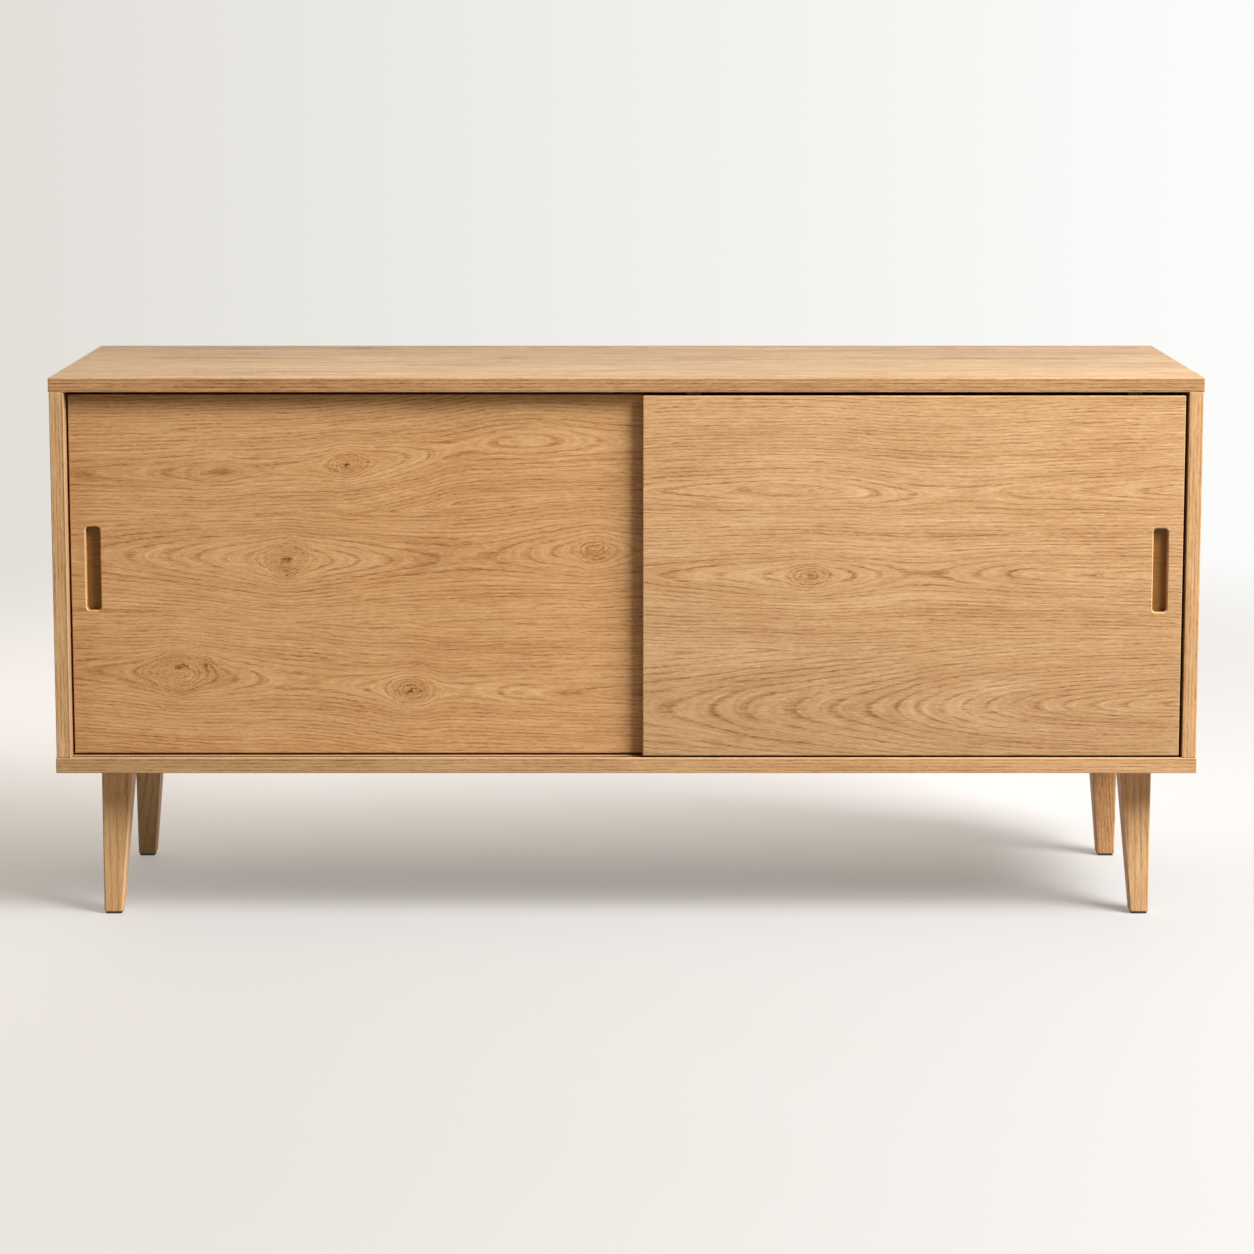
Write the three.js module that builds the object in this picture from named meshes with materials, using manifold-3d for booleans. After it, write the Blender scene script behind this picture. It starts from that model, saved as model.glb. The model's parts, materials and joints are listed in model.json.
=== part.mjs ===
// A low oak cabinet with two sliding doors on four tapered legs.
// Millimetres, +Z up. The front faces -Y and X runs from left to right.
// The origin is on the floor, under the middle of the cabinet.
import * as THREE from "three";
import { RoundedBoxGeometry } from "three/addons/geometries/RoundedBoxGeometry.js";
import { mergeVertices } from "three/addons/utils/BufferGeometryUtils.js";
import Module from "manifold-3d";

// Overall size
const cabinetWidth = 1600;
const cabinetDepth = 450;
const cabinetHeight = 775;

// Case panels
const topThickness = 20;
const bottomThickness = 22;
const sideThickness = 20;
const sideInset = 1; // the top and bottom panels stand this far past the sides
const edgeRadius = 1.25; // sanded arris on every panel edge

// Joints of the case
const tongueThickness = 8;
const tongueHeight = 7;
const tongueFrontStop = 34; // distance from the front edge, so that the joint doesn't show
const tongueRearStop = 22;
const housingDepth = 6; // depth of the groove that holds an end of the centre divider

// Back panel, in a rebate
const backThickness = 6;
const rebateDepth = 8; // from the rear edges forwards
const rebateWidth = 9; // into the thickness of each panel

// Centre divider and shelves
const dividerThickness = 18;
const dividerDoorGap = 4; // behind the rear door
const shelfThickness = 18;
const shelfSetback = 14; // behind the front edge of the divider
const shelfEndGap = 2;
const shelfBackGap = 3;

// Shelf pins and their rows of holes
const pinShankRadius = 2.5;
const pinShankLength = 7.5;
const pinCollarRadius = 4;
const pinCollarThickness = 1.2;
const pinPegLength = 9;
const pinHolePitch = 32;
const pinHoleRows = 5; // heights in a row of holes
const pinInset = 45; // from the front and rear edges of a shelf

// Legs
const legLength = 217; // from the floor to the bottom panel, glide included
const legTopWidth = 45;
const legFootWidth = 26;
const legEndInset = 55; // from the end of the bottom panel to the leg
const legFrontInset = 52; // from the front and rear edges to the leg
const legEdgeRadius = 2.5;
const footChamfer = 1.5;

// Fastening of the legs
const boltRadius = 4;
const boltInLeg = 30;
const boltInCase = 13;
const insertRadius = 6;
const insertLength = 14;
const insertFlangeRadius = 9;
const insertFlangeThickness = 1.5;
const boltTipChamfer = 1;

// Foot glides
const glideThickness = 2.5;
const glideInset = 1.5; // from the sides of the foot
const glideCornerRadius = 3;

// Doors
const doorThickness = 14;
const doorSetback = 1.5; // the front door behind the front edges of the case
const doorGap = 2; // between the two doors
const doorBottomGap = 3;
const doorTopGap = 5; // more than the wheels reach into the track, so that a door lifts out
const frontDoorEdgeX = 23; // where the closed front door ends, past the middle of the cabinet
const doorOverlap = 21; // of the two doors when closed
const frontDoorEndGap = 4.5; // to the side of the case when closed
const rearDoorEndGap = 3;

// Finger pulls routed into the doors
const pullWidth = 20;
const pullHeight = 118;
const pullDepth = 11;
const pullCornerRadius = 5;
const pullRim = 1.6; // chamfer round the mouth
const pullEdgeDistance = 21; // from the outer edge of the door to the recess
const pullCentreHeight = 263; // above the bottom edge of the door

// Tracks in the bottom and top panels
const trackWidth = 8;
const trackWall = 1;
const floorTrackDepth = 6;
const topTrackDepth = 10;
const ridgeWidth = 1.4;
const ridgeHeight = 2;

// Rollers in the bottom edges of the doors
const wheelRadius = 11;
const wheelWidth = 5;
const wheelGrooveDepth = 1.6;
const wheelGrooveFloor = 2; // width of the groove where it rides on the ridge
const wheelGrooveMouth = 3;
const wheelRimChamfer = 0.4;
const wheelHubRadius = 4;
const wheelDish = 0.8; // recess in each side of the wheel, between hub and rim
const wheelRimWidth = 2.6; // radial width of the rim outside the dish
const axleRadius = 1.5;
const rollerInset = 70; // from the end of the door to the axle
const housingWidth = 9;
const housingLength = 42;
const housingHeight = 21;
const housingCornerRadius = 4;
const housingFlangeLength = 62;
const housingFlangeThickness = 1.6;
const wheelSideGap = 0.4;
const wheelSlotGap = 1.2;

// Guides in the top edges of the doors
const guideHeadLength = 32;
const guideHeadWidth = 9;
const guideHeadThickness = 2;
const guideTongueLength = 22;
const guideTongueWidth = 5;
const guideTongueReach = 4; // into the top track
const guidePlugRadius = 4;
const guidePlugLength = 16;

// Stops in the floor tracks
const stopLength = 16;
const stopTopGap = 0.6; // below the face of the bottom panel

// Clearances
const seatGap = 0.1; // at glued and resting faces
const fitGap = 0.3; // round a piece that sits in a cut
const overrun = 4; // how far a cutter stands past the face that it opens

// Fineness of round shapes
const edgeSteps = 2;
const innerEdgeSteps = 1;
const cornerSteps = 4;
const wheelSides = 20;
const smallSides = 14;
const holeSides = 10;
const weldTolerance = 1e-4;

// Heights and half sizes that follow
const halfWidth = cabinetWidth / 2;
const halfDepth = cabinetDepth / 2;
const frontY = -halfDepth;
const rearY = halfDepth;
const floorZ = legLength + bottomThickness;
const ceilingZ = cabinetHeight - topThickness;
const sideOuterX = halfWidth - sideInset;
const sideInnerX = sideOuterX - sideThickness;
const backFaceY = rearY - rebateDepth;
const frontDoorY = frontY + doorSetback + doorThickness / 2;
const rearDoorY = frontDoorY + doorThickness + doorGap;
const rearDoorBackY = rearDoorY + doorThickness / 2;
const doorBottomZ = floorZ + doorBottomGap;
const doorHeight = ceilingZ - doorTopGap - doorBottomZ;
const frontDoorWidth = sideInnerX - frontDoorEndGap - frontDoorEdgeX;
const rearDoorWidth = sideInnerX - rearDoorEndGap + frontDoorEdgeX + doorOverlap;
const dividerFrontY = rearDoorBackY + dividerDoorGap;
const shelfFrontY = dividerFrontY + shelfSetback;
const shelfRearY = backFaceY - shelfBackGap;
const shelfMiddleZ = (floorZ + ceilingZ) / 2;
const pinPegRadius = pinShankRadius;
const pinFrontY = shelfFrontY + pinInset;
const pinRearY = shelfRearY - pinInset;
const legCentre = legTopWidth / 2;
const legOuterX = halfWidth - legEndInset;
const legOuterY = halfDepth - legFrontInset;
const legTopZ = legLength - seatGap;
const footZ = glideThickness + seatGap;
const channelWidth = trackWidth - 2 * trackWall;
const channelFloorZ = floorZ - floorTrackDepth + trackWall;
const rollingRadius = wheelRadius - wheelGrooveDepth;
const axleZ = channelFloorZ + ridgeHeight + fitGap + rollingRadius;
const axleHeight = axleZ - doorBottomZ; // above the bottom edge of the door

const wasm = await Module();
wasm.setup();

// Closes a geometry by its positions alone and makes a solid of it.
function solidOf(geometry) {
  const bare = geometry.clone();
  bare.deleteAttribute("normal");
  bare.deleteAttribute("uv");
  const welded = mergeVertices(bare, weldTolerance);
  return new wasm.Manifold(
    new wasm.Mesh({
      numProp: 3,
      vertProperties: welded.attributes.position.array,
      triVerts: new Uint32Array(welded.index.array),
    }),
  );
}

// Gives the surface of a solid as a geometry.
function geometryOf(solid) {
  const surface = solid.getMesh();
  const geometry = new THREE.BufferGeometry();
  geometry.setAttribute("position", new THREE.BufferAttribute(new Float32Array(surface.vertProperties), 3));
  geometry.setIndex(new THREE.BufferAttribute(new Uint32Array(surface.triVerts), 1));
  geometry.computeVertexNormals();
  return geometry;
}

// Cuts a list of geometries out of one.
function cut(geometry, cutters) {
  let solid = solidOf(geometry);
  for (const cutter of cutters) {
    solid = solid.subtract(solidOf(cutter));
  }
  return geometryOf(solid);
}

// Joins overlapping geometries into one.
function join(geometries) {
  let solid = solidOf(geometries[0]);
  for (const geometry of geometries.slice(1)) {
    solid = solid.add(solidOf(geometry));
  }
  return geometryOf(solid);
}

// A sharp block between two limits on each axis.
function block([x0, x1], [y0, y1], [z0, z1]) {
  const geometry = new THREE.BoxGeometry(x1 - x0, y1 - y0, z1 - z0);
  return geometry.translate((x0 + x1) / 2, (y0 + y1) / 2, (z0 + z1) / 2);
}

// A board with sanded edges, round its own centre.
function board(width, depth, height, steps = edgeSteps) {
  return new RoundedBoxGeometry(width, depth, height, steps, edgeRadius);
}

// Turns a profile drawn in Y and Z, and extruded, so that it runs along X.
function alongX(geometry) {
  const turn = new THREE.Matrix4().makeBasis(
    new THREE.Vector3(0, 1, 0),
    new THREE.Vector3(0, 0, 1),
    new THREE.Vector3(1, 0, 0),
  );
  return geometry.applyMatrix4(turn);
}

// Turns a profile drawn in X and Z, and extruded, so that it runs along -Y.
function alongY(geometry) {
  const turn = new THREE.Matrix4().makeBasis(
    new THREE.Vector3(1, 0, 0),
    new THREE.Vector3(0, 0, 1),
    new THREE.Vector3(0, -1, 0),
  );
  return geometry.applyMatrix4(turn);
}

// Extrudes a shape by a depth, centred on the plane that it is drawn in.
function slab(shape, depth, curveSegments = cornerSteps) {
  const geometry = new THREE.ExtrudeGeometry(shape, { depth, bevelEnabled: false, curveSegments });
  return geometry.translate(0, 0, -depth / 2);
}

// A closed outline of straight sides.
function outline(points) {
  return new THREE.Shape(points.map(([x, y]) => new THREE.Vector2(x, y)));
}

// A rectangle with round corners, round its own centre.
function roundedRectangle(width, height, radius) {
  const x = width / 2;
  const y = height / 2;
  const shape = new THREE.Shape();
  shape.moveTo(radius - x, -y);
  shape.lineTo(x - radius, -y);
  shape.absarc(x - radius, radius - y, radius, -Math.PI / 2, 0);
  shape.lineTo(x, y - radius);
  shape.absarc(x - radius, y - radius, radius, 0, Math.PI / 2);
  shape.lineTo(radius - x, y);
  shape.absarc(radius - x, y - radius, radius, Math.PI / 2, Math.PI);
  shape.lineTo(-x, radius - y);
  shape.absarc(radius - x, radius - y, radius, Math.PI, 1.5 * Math.PI);
  return shape;
}

// A turned piece round the Z axis, from points of radius and height.
function turned(points, sides) {
  const profile = points.map(([radius, height]) => new THREE.Vector2(radius, height));
  return new THREE.LatheGeometry(profile, sides).rotateX(Math.PI / 2);
}

// A plain rod round the Z axis between two heights.
function rod(radius, low, high, sides) {
  return turned([[0, low], [radius, low], [radius, high], [0, high]], sides);
}

// Joins rings of points, each with as many points, into one closed surface with flat ends.
function loft(rings) {
  const count = rings[0].length;
  const positions = rings.flat(2);
  const index = [];
  for (let ring = 0; ring + 1 < rings.length; ring++) {
    for (let i = 0; i < count; i++) {
      const a = ring * count + i;
      const b = ring * count + ((i + 1) % count);
      index.push(a, b, b + count, a, b + count, a + count);
    }
  }
  const last = (rings.length - 1) * count;
  for (let i = 1; i + 1 < count; i++) {
    index.push(0, i + 1, i);
    index.push(last, last + i, last + i + 1);
  }
  const geometry = new THREE.BufferGeometry();
  geometry.setAttribute("position", new THREE.Float32BufferAttribute(positions, 3));
  geometry.setIndex(index);
  return geometry;
}

// Colours and surfaces
const oak = { color: 0xc6955f, roughness: 0.55, metalness: 0 };
const innerOak = { color: 0xcfa472, roughness: 0.6, metalness: 0 };
const backBoard = { color: 0xd2b48c, roughness: 0.7, metalness: 0 };
const trackPlastic = { color: 0x9a7650, roughness: 0.5, metalness: 0 };
const darkPlastic = { color: 0x33302d, roughness: 0.5, metalness: 0 };
const nylon = { color: 0x3a3733, roughness: 0.45, metalness: 0 };
const rubber = { color: 0x2b2927, roughness: 0.85, metalness: 0 };
const steel = { color: 0xb8bcc0, roughness: 0.35, metalness: 1 };

// Puts a named piece into a group.
function piece(group, name, geometry, look, [x, y, z] = [0, 0, 0]) {
  const mesh = new THREE.Mesh(geometry, new THREE.MeshStandardMaterial(look));
  mesh.name = name;
  mesh.position.set(x, y, z);
  group.add(mesh);
  return mesh;
}

// Cuts a board that stands at a centre with cutters placed in the cabinet's own frame.
function cutInPlace(geometry, [x, y, z], cutters) {
  return cut(geometry, cutters.map((cutter) => cutter.translate(-x, -y, -z)));
}

// The grooves for both tracks, between two heights.
function trackGrooves(heights) {
  const half = trackWidth / 2 + fitGap;
  const across = [-sideInnerX, sideInnerX];
  return [frontDoorY, rearDoorY].map((y) => block(across, [y - half, y + half], heights));
}

// The grooves for the stopped tongues on the sides, between two heights.
function tongueGrooves(heights) {
  const middle = (sideOuterX + sideInnerX) / 2;
  const half = tongueThickness / 2 + fitGap;
  const along = [frontY + tongueFrontStop - fitGap, rearY - tongueRearStop + fitGap];
  return [-middle, middle].map((x) => block([x - half, x + half], along, heights));
}

// The groove that holds the divider, between two heights.
function dividerGroove(heights) {
  const half = dividerThickness / 2 + fitGap;
  return block([-half, half], [dividerFrontY - fitGap, backFaceY + overrun], heights);
}

// The rebate for the back panel in the top or bottom, between two heights.
function rebate(heights) {
  const half = sideInnerX + rebateWidth;
  return block([-half, half], [backFaceY, rearY + overrun], heights);
}

// Where the legs stand, as signs of X and Y.
const corners = [
  ["front_left", -1, -1],
  ["front_right", 1, -1],
  ["rear_left", -1, 1],
  ["rear_right", 1, 1],
];

// The bore in the bottom panel for one leg's threaded insert.
function insertBore(signX, signY) {
  const rimZ = legLength + insertFlangeThickness + seatGap + fitGap;
  const endZ = legLength + insertLength + seatGap + fitGap;
  const bore = turned(
    [
      [0, legLength - overrun],
      [insertFlangeRadius + fitGap, legLength - overrun],
      [insertFlangeRadius + fitGap, rimZ],
      [insertRadius + fitGap, rimZ],
      [insertRadius + fitGap, endZ],
      [0, endZ],
    ],
    smallSides,
  );
  return bore.translate(signX * (legOuterX - legCentre), signY * (legOuterY - legCentre), 0);
}

// The top panel, grooved underneath
function makeTop(cabinet) {
  const centre = [0, 0, (ceilingZ + cabinetHeight) / 2];
  const below = ceilingZ - overrun;
  const cutters = [
    ...trackGrooves([below, ceilingZ + topTrackDepth + seatGap]),
    ...tongueGrooves([below, ceilingZ + tongueHeight]),
    dividerGroove([below, ceilingZ + housingDepth]),
    rebate([below, ceilingZ + rebateWidth]),
  ];
  const panel = board(cabinetWidth, cabinetDepth, topThickness);
  piece(cabinet, "top_panel", cutInPlace(panel, centre, cutters), oak, centre);
}

// The bottom panel, grooved on top and bored underneath
function makeBottom(cabinet) {
  const centre = [0, 0, (legLength + floorZ) / 2];
  const above = floorZ + overrun;
  const cutters = [
    ...trackGrooves([floorZ - floorTrackDepth - seatGap, above]),
    ...tongueGrooves([floorZ - tongueHeight, above]),
    dividerGroove([floorZ - housingDepth, above]),
    rebate([floorZ - rebateWidth, above]),
    ...corners.map(([, signX, signY]) => insertBore(signX, signY)),
  ];
  const panel = board(cabinetWidth, cabinetDepth, bottomThickness);
  piece(cabinet, "bottom_panel", cutInPlace(panel, centre, cutters), oak, centre);
}

// The heights of the shelf pin holes
function pinHeights() {
  const heights = [];
  for (let row = 0; row < pinHoleRows; row++) {
    heights.push(shelfMiddleZ + (row - (pinHoleRows - 1) / 2) * pinHolePitch);
  }
  return heights;
}

// Bores for shelf pins along X between two places.
function pinHoles(low, high) {
  const holes = [];
  for (const z of pinHeights()) {
    for (const y of [pinFrontY, pinRearY]) {
      const hole = rod(pinShankRadius + fitGap, low, high, holeSides).rotateY(Math.PI / 2);
      holes.push(hole.translate(0, y, z));
    }
  }
  return holes;
}

// A side with stopped tongues above and below, a rebate behind and pin holes inside
function makeSide(cabinet, name, sign) {
  const centre = [sign * (sideInnerX + sideThickness / 2), 0, (floorZ + ceilingZ) / 2];
  const height = ceilingZ - floorZ - 2 * seatGap;
  const reach = height / 2 + seatGap + tongueHeight - fitGap;
  const tongue = block(
    [-tongueThickness / 2, tongueThickness / 2],
    [frontY + tongueFrontStop, rearY - tongueRearStop],
    [-reach, reach],
  );
  const panel = join([board(sideThickness, cabinetDepth, height), tongue]);
  const rebateAcross = [sideInnerX - overrun, sideInnerX + rebateWidth].map((x) => sign * x);
  const holeAcross = [sideInnerX - overrun, sideInnerX + pinShankLength + fitGap].map((x) => sign * x);
  const inOrder = (limits) => [Math.min(...limits), Math.max(...limits)];
  const cutters = [
    block(inOrder(rebateAcross), [backFaceY, rearY + overrun], [floorZ - overrun, ceilingZ + overrun]),
    ...pinHoles(...inOrder(holeAcross)),
  ];
  piece(cabinet, name, cutInPlace(panel, centre, cutters), oak, centre);
}

// The thin back panel
function makeBack(cabinet) {
  const width = 2 * (sideInnerX + rebateWidth - fitGap);
  const height = ceilingZ - floorZ + 2 * (rebateWidth - fitGap);
  const centre = [0, backFaceY + seatGap + backThickness / 2, shelfMiddleZ];
  piece(cabinet, "back_panel", new THREE.BoxGeometry(width, backThickness, height), backBoard, centre);
}

// The divider between the two compartments, with pin holes right through
function makeDivider(cabinet) {
  const depth = backFaceY - seatGap - dividerFrontY;
  const height = ceilingZ - floorZ + 2 * (housingDepth - fitGap);
  const centre = [0, dividerFrontY + depth / 2, shelfMiddleZ];
  const through = dividerThickness / 2 + overrun;
  const panel = board(dividerThickness, depth, height, innerEdgeSteps);
  const cutters = pinHoles(-through, through);
  piece(cabinet, "centre_divider", cutInPlace(panel, centre, cutters), innerOak, centre);
}

// A steel shelf pin along X: shank, collar and peg, from the face that it is pushed into
function pinGeometry() {
  return turned(
    [
      [0, -pinShankLength],
      [pinShankRadius, -pinShankLength],
      [pinShankRadius, seatGap],
      [pinCollarRadius, seatGap],
      [pinCollarRadius, seatGap + pinCollarThickness],
      [pinPegRadius, seatGap + pinCollarThickness],
      [pinPegRadius, pinPegLength],
      [0, pinPegLength],
    ],
    holeSides,
  ).rotateY(Math.PI / 2);
}

// A shelf and its four pins in one compartment
function makeShelf(cabinet, side, sign) {
  const innerX = dividerThickness / 2;
  const width = sideInnerX - innerX - 2 * shelfEndGap;
  const depth = shelfRearY - shelfFrontY;
  const middleX = sign * ((innerX + sideInnerX) / 2);
  const undersideZ = shelfMiddleZ + pinPegRadius + seatGap;
  const centre = [middleX, (shelfFrontY + shelfRearY) / 2, undersideZ + shelfThickness / 2];
  piece(cabinet, "shelf_" + side, board(width, depth, shelfThickness, innerEdgeSteps), innerOak, centre);
  const walls = [
    ["outer", sign * sideInnerX, -sign],
    ["inner", sign * innerX, sign],
  ];
  const rows = [
    ["front", pinFrontY],
    ["rear", pinRearY],
  ];
  for (const [wall, x, facing] of walls) {
    for (const [row, y] of rows) {
      const name = ["shelf_pin", side, wall, row].join("_");
      const pin = piece(cabinet, name, pinGeometry(), steel, [x, y, shelfMiddleZ]);
      pin.rotation.z = facing > 0 ? 0 : Math.PI;
    }
  }
}

// A floor track: a channel with a round-topped ridge for the grooved wheels
function floorTrackShape() {
  const half = trackWidth / 2;
  const inner = half - trackWall;
  const bottom = -floorTrackDepth;
  const channel = bottom + trackWall;
  const ridge = ridgeWidth / 2;
  const shoulder = channel + ridgeHeight - ridge;
  const shape = new THREE.Shape();
  shape.moveTo(-half, bottom);
  shape.lineTo(half, bottom);
  shape.lineTo(half, 0);
  shape.lineTo(inner, 0);
  shape.lineTo(inner, channel);
  shape.lineTo(ridge, channel);
  shape.lineTo(ridge, shoulder);
  shape.absarc(0, shoulder, ridge, 0, Math.PI);
  shape.lineTo(-ridge, channel);
  shape.lineTo(-inner, channel);
  shape.lineTo(-inner, 0);
  shape.lineTo(-half, 0);
  return shape;
}

// A top track: a plain channel, open downwards
function topTrackShape() {
  const half = trackWidth / 2;
  const inner = half - trackWall;
  const top = topTrackDepth;
  const channel = top - trackWall;
  return outline([
    [-half, 0],
    [-inner, 0],
    [-inner, channel],
    [inner, channel],
    [inner, 0],
    [half, 0],
    [half, top],
    [-half, top],
  ]);
}

// The four tracks, let into the top and bottom panels
function makeTracks(cabinet) {
  const length = 2 * (sideInnerX - seatGap);
  const rows = [
    ["front", frontDoorY],
    ["rear", rearDoorY],
  ];
  for (const [row, y] of rows) {
    const low = alongX(slab(floorTrackShape(), length));
    const high = alongX(slab(topTrackShape(), length));
    piece(cabinet, "floor_track_" + row, low, trackPlastic, [0, y, floorZ]);
    piece(cabinet, "top_track_" + row, high, trackPlastic, [0, y, ceilingZ]);
  }
}

// The profile of a stop: a saddle over the ridge, standing on the floor of the channel
function stopShape() {
  const half = channelWidth / 2 - fitGap;
  const inner = ridgeWidth / 2 + fitGap;
  const bottom = channelFloorZ + seatGap - floorZ;
  const bridge = channelFloorZ + ridgeHeight + fitGap - floorZ;
  return outline([
    [-half, bottom],
    [-inner, bottom],
    [-inner, bridge],
    [inner, bridge],
    [inner, bottom],
    [half, bottom],
    [half, -stopTopGap],
    [-half, -stopTopGap],
  ]);
}

// How far from its axle a wheel meets a stop
function wheelReach() {
  const above = axleZ - (floorZ - stopTopGap);
  return Math.sqrt(wheelRadius * wheelRadius - above * above);
}

// The four stops, one at each end of both floor tracks
function makeStops(cabinet) {
  const rows = [
    ["front", frontDoorY, frontDoorEndGap],
    ["rear", rearDoorY, rearDoorEndGap],
  ];
  const ends = [
    ["left", -1],
    ["right", 1],
  ];
  for (const [row, y, endGap] of rows) {
    const face = sideInnerX - endGap - rollerInset + wheelReach() + fitGap;
    for (const [end, sign] of ends) {
      const stop = alongX(slab(stopShape(), stopLength));
      const name = ["track_stop", row, end].join("_");
      piece(cabinet, name, stop, rubber, [sign * (face + stopLength / 2), y, floorZ]);
    }
  }
}

// One level of a leg: a square with round corners, its outer corner at zero
function legRing(width, z, shrink) {
  const shape = roundedRectangle(width - 2 * shrink, width - 2 * shrink, legEdgeRadius);
  const points = shape.getPoints(cornerSteps);
  points.pop();
  return points.map((point) => [point.x - width / 2, point.y - width / 2, z]);
}

// The width of a leg at a height: full at the top, tapered on the two inner faces
function legWidth(z) {
  const share = (z - footZ) / (legTopZ - footZ);
  return legFootWidth + (legTopWidth - legFootWidth) * share;
}

// A leg with the bore for its bolt
function legGeometry() {
  const chamferZ = footZ + footChamfer;
  const body = loft([
    legRing(legWidth(footZ), footZ, footChamfer),
    legRing(legWidth(chamferZ), chamferZ, 0),
    legRing(legWidth(legTopZ), legTopZ, 0),
  ]);
  const bore = rod(boltRadius + fitGap, legTopZ - boltInLeg - fitGap, legTopZ + overrun, smallSides);
  return cut(body, [bore.translate(-legCentre, -legCentre, 0)]);
}

// The bolt that joins a leg to the case, chamfered at both tips
function boltGeometry() {
  const low = legTopZ - boltInLeg;
  const high = legLength + boltInCase;
  const tip = boltRadius - boltTipChamfer;
  const profile = [
    [0, low],
    [tip, low],
    [boltRadius, low + boltTipChamfer],
    [boltRadius, high - boltTipChamfer],
    [tip, high],
    [0, high],
  ];
  return turned(profile, smallSides);
}

// The flanged sleeve that takes the bolt, flush with the underside of the case
function insertGeometry() {
  const low = legLength + seatGap;
  const flange = low + insertFlangeThickness;
  const high = low + insertLength;
  const bore = boltRadius + fitGap;
  const profile = [
    [bore, low],
    [insertFlangeRadius, low],
    [insertFlangeRadius, flange],
    [insertRadius, flange],
    [insertRadius, high],
    [bore, high],
    [bore, low],
  ];
  return turned(profile, smallSides);
}

// The glide under a foot
function glideGeometry() {
  const width = legWidth(footZ) - 2 * glideInset;
  const pad = slab(roundedRectangle(width, width, glideCornerRadius), glideThickness);
  return pad.translate(-legWidth(footZ) / 2, -legWidth(footZ) / 2, glideThickness / 2);
}

// The legs with their bolts, inserts and glides, mirrored to the four corners
function makeLegs(cabinet) {
  for (const [corner, signX, signY] of corners) {
    const group = new THREE.Group();
    group.position.set(signX * legOuterX, signY * legOuterY, 0);
    group.scale.set(signX, signY, 1);
    cabinet.add(group);
    piece(group, "leg_" + corner, legGeometry(), oak);
    piece(group, "leg_bolt_" + corner, boltGeometry(), steel, [-legCentre, -legCentre, 0]);
    piece(group, "leg_insert_" + corner, insertGeometry(), steel, [-legCentre, -legCentre, 0]);
    piece(group, "foot_glide_" + corner, glideGeometry(), darkPlastic);
  }
}

// The cutters for a finger pull: a round-cornered recess and its chamfered mouth
function pullCutters(x) {
  const faceY = -doorThickness / 2;
  const mouthShape = roundedRectangle(pullWidth, pullHeight, pullCornerRadius);
  const recessDepth = pullDepth + overrun;
  const recess = alongY(slab(mouthShape, recessDepth));
  recess.translate(x, faceY + pullDepth - recessDepth / 2, pullCentreHeight);
  const mouth = new THREE.ExtrudeGeometry(mouthShape, {
    depth: overrun,
    bevelEnabled: true,
    bevelSegments: 1,
    bevelSize: pullRim,
    bevelThickness: pullRim,
    curveSegments: cornerSteps,
  });
  return [recess, alongY(mouth).translate(x, faceY, pullCentreHeight)];
}

// The pocket for a roller housing and its flange, open at the bottom edge of the door
function rollerPocket(x) {
  const across = [-housingWidth / 2 - fitGap, housingWidth / 2 + fitGap];
  const body = housingLength / 2 + fitGap;
  const flange = housingFlangeLength / 2 + fitGap;
  return [
    block([x - body, x + body], across, [-overrun, housingHeight + fitGap]),
    block([x - flange, x + flange], across, [-overrun, housingFlangeThickness + fitGap]),
  ];
}

// The recess and bore for a top guide, open at the top edge of the door
function guidePocket(x) {
  const headShape = roundedRectangle(
    guideHeadLength + 2 * fitGap,
    guideHeadWidth + 2 * fitGap,
    guideHeadWidth / 2,
  );
  const headDepth = guideHeadThickness + seatGap;
  const head = slab(headShape, headDepth + overrun).translate(0, 0, (overrun - headDepth) / 2);
  const plug = rod(guidePlugRadius + fitGap, -headDepth - guidePlugLength - fitGap, 0, smallSides);
  return [head, plug].map((cutter) => cutter.translate(x, 0, doorHeight));
}

// The housing of one roller, seen in X and Z and extruded across the door
function housingGeometry() {
  const body = housingLength / 2;
  const flange = housingFlangeLength / 2;
  const bend = housingHeight - housingCornerRadius;
  const shape = new THREE.Shape();
  shape.moveTo(-flange, 0);
  shape.lineTo(flange, 0);
  shape.lineTo(flange, housingFlangeThickness);
  shape.lineTo(body, housingFlangeThickness);
  shape.lineTo(body, bend);
  shape.absarc(body - housingCornerRadius, bend, housingCornerRadius, 0, Math.PI / 2);
  shape.lineTo(housingCornerRadius - body, housingHeight);
  shape.absarc(housingCornerRadius - body, bend, housingCornerRadius, Math.PI / 2, Math.PI);
  shape.lineTo(-body, housingFlangeThickness);
  shape.lineTo(-flange, housingFlangeThickness);
  const moulding = alongY(slab(shape, housingWidth));
  const slotHalf = wheelRadius + wheelSlotGap;
  const cheek = wheelWidth / 2 + wheelSideGap;
  const slot = block([-slotHalf, slotHalf], [-cheek, cheek], [-overrun, axleHeight + slotHalf]);
  const bore = rod(axleRadius + fitGap, -housingWidth, housingWidth, holeSides).rotateX(Math.PI / 2);
  return cut(moulding, [slot, bore.translate(0, 0, axleHeight)]);
}

// A nylon wheel round the Y axis: bored hub, dished sides and a grooved rim
function wheelGeometry() {
  const half = wheelWidth / 2;
  const bore = axleRadius + fitGap;
  const rimInner = wheelRadius - wheelGrooveDepth - wheelRimWidth;
  const web = half - wheelDish;
  const upper = [
    [rollingRadius, wheelGrooveFloor / 2],
    [wheelRadius, wheelGrooveMouth / 2],
    [wheelRadius, half - wheelRimChamfer],
    [wheelRadius - wheelRimChamfer, half],
    [rimInner, half],
    [rimInner, web],
    [wheelHubRadius, web],
    [wheelHubRadius, half],
    [bore, half],
  ];
  const lower = upper.map(([radius, height]) => [radius, -height]).reverse();
  const closed = [...lower, ...upper, lower[0]];
  return turned(closed, wheelSides).rotateX(Math.PI / 2);
}

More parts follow.
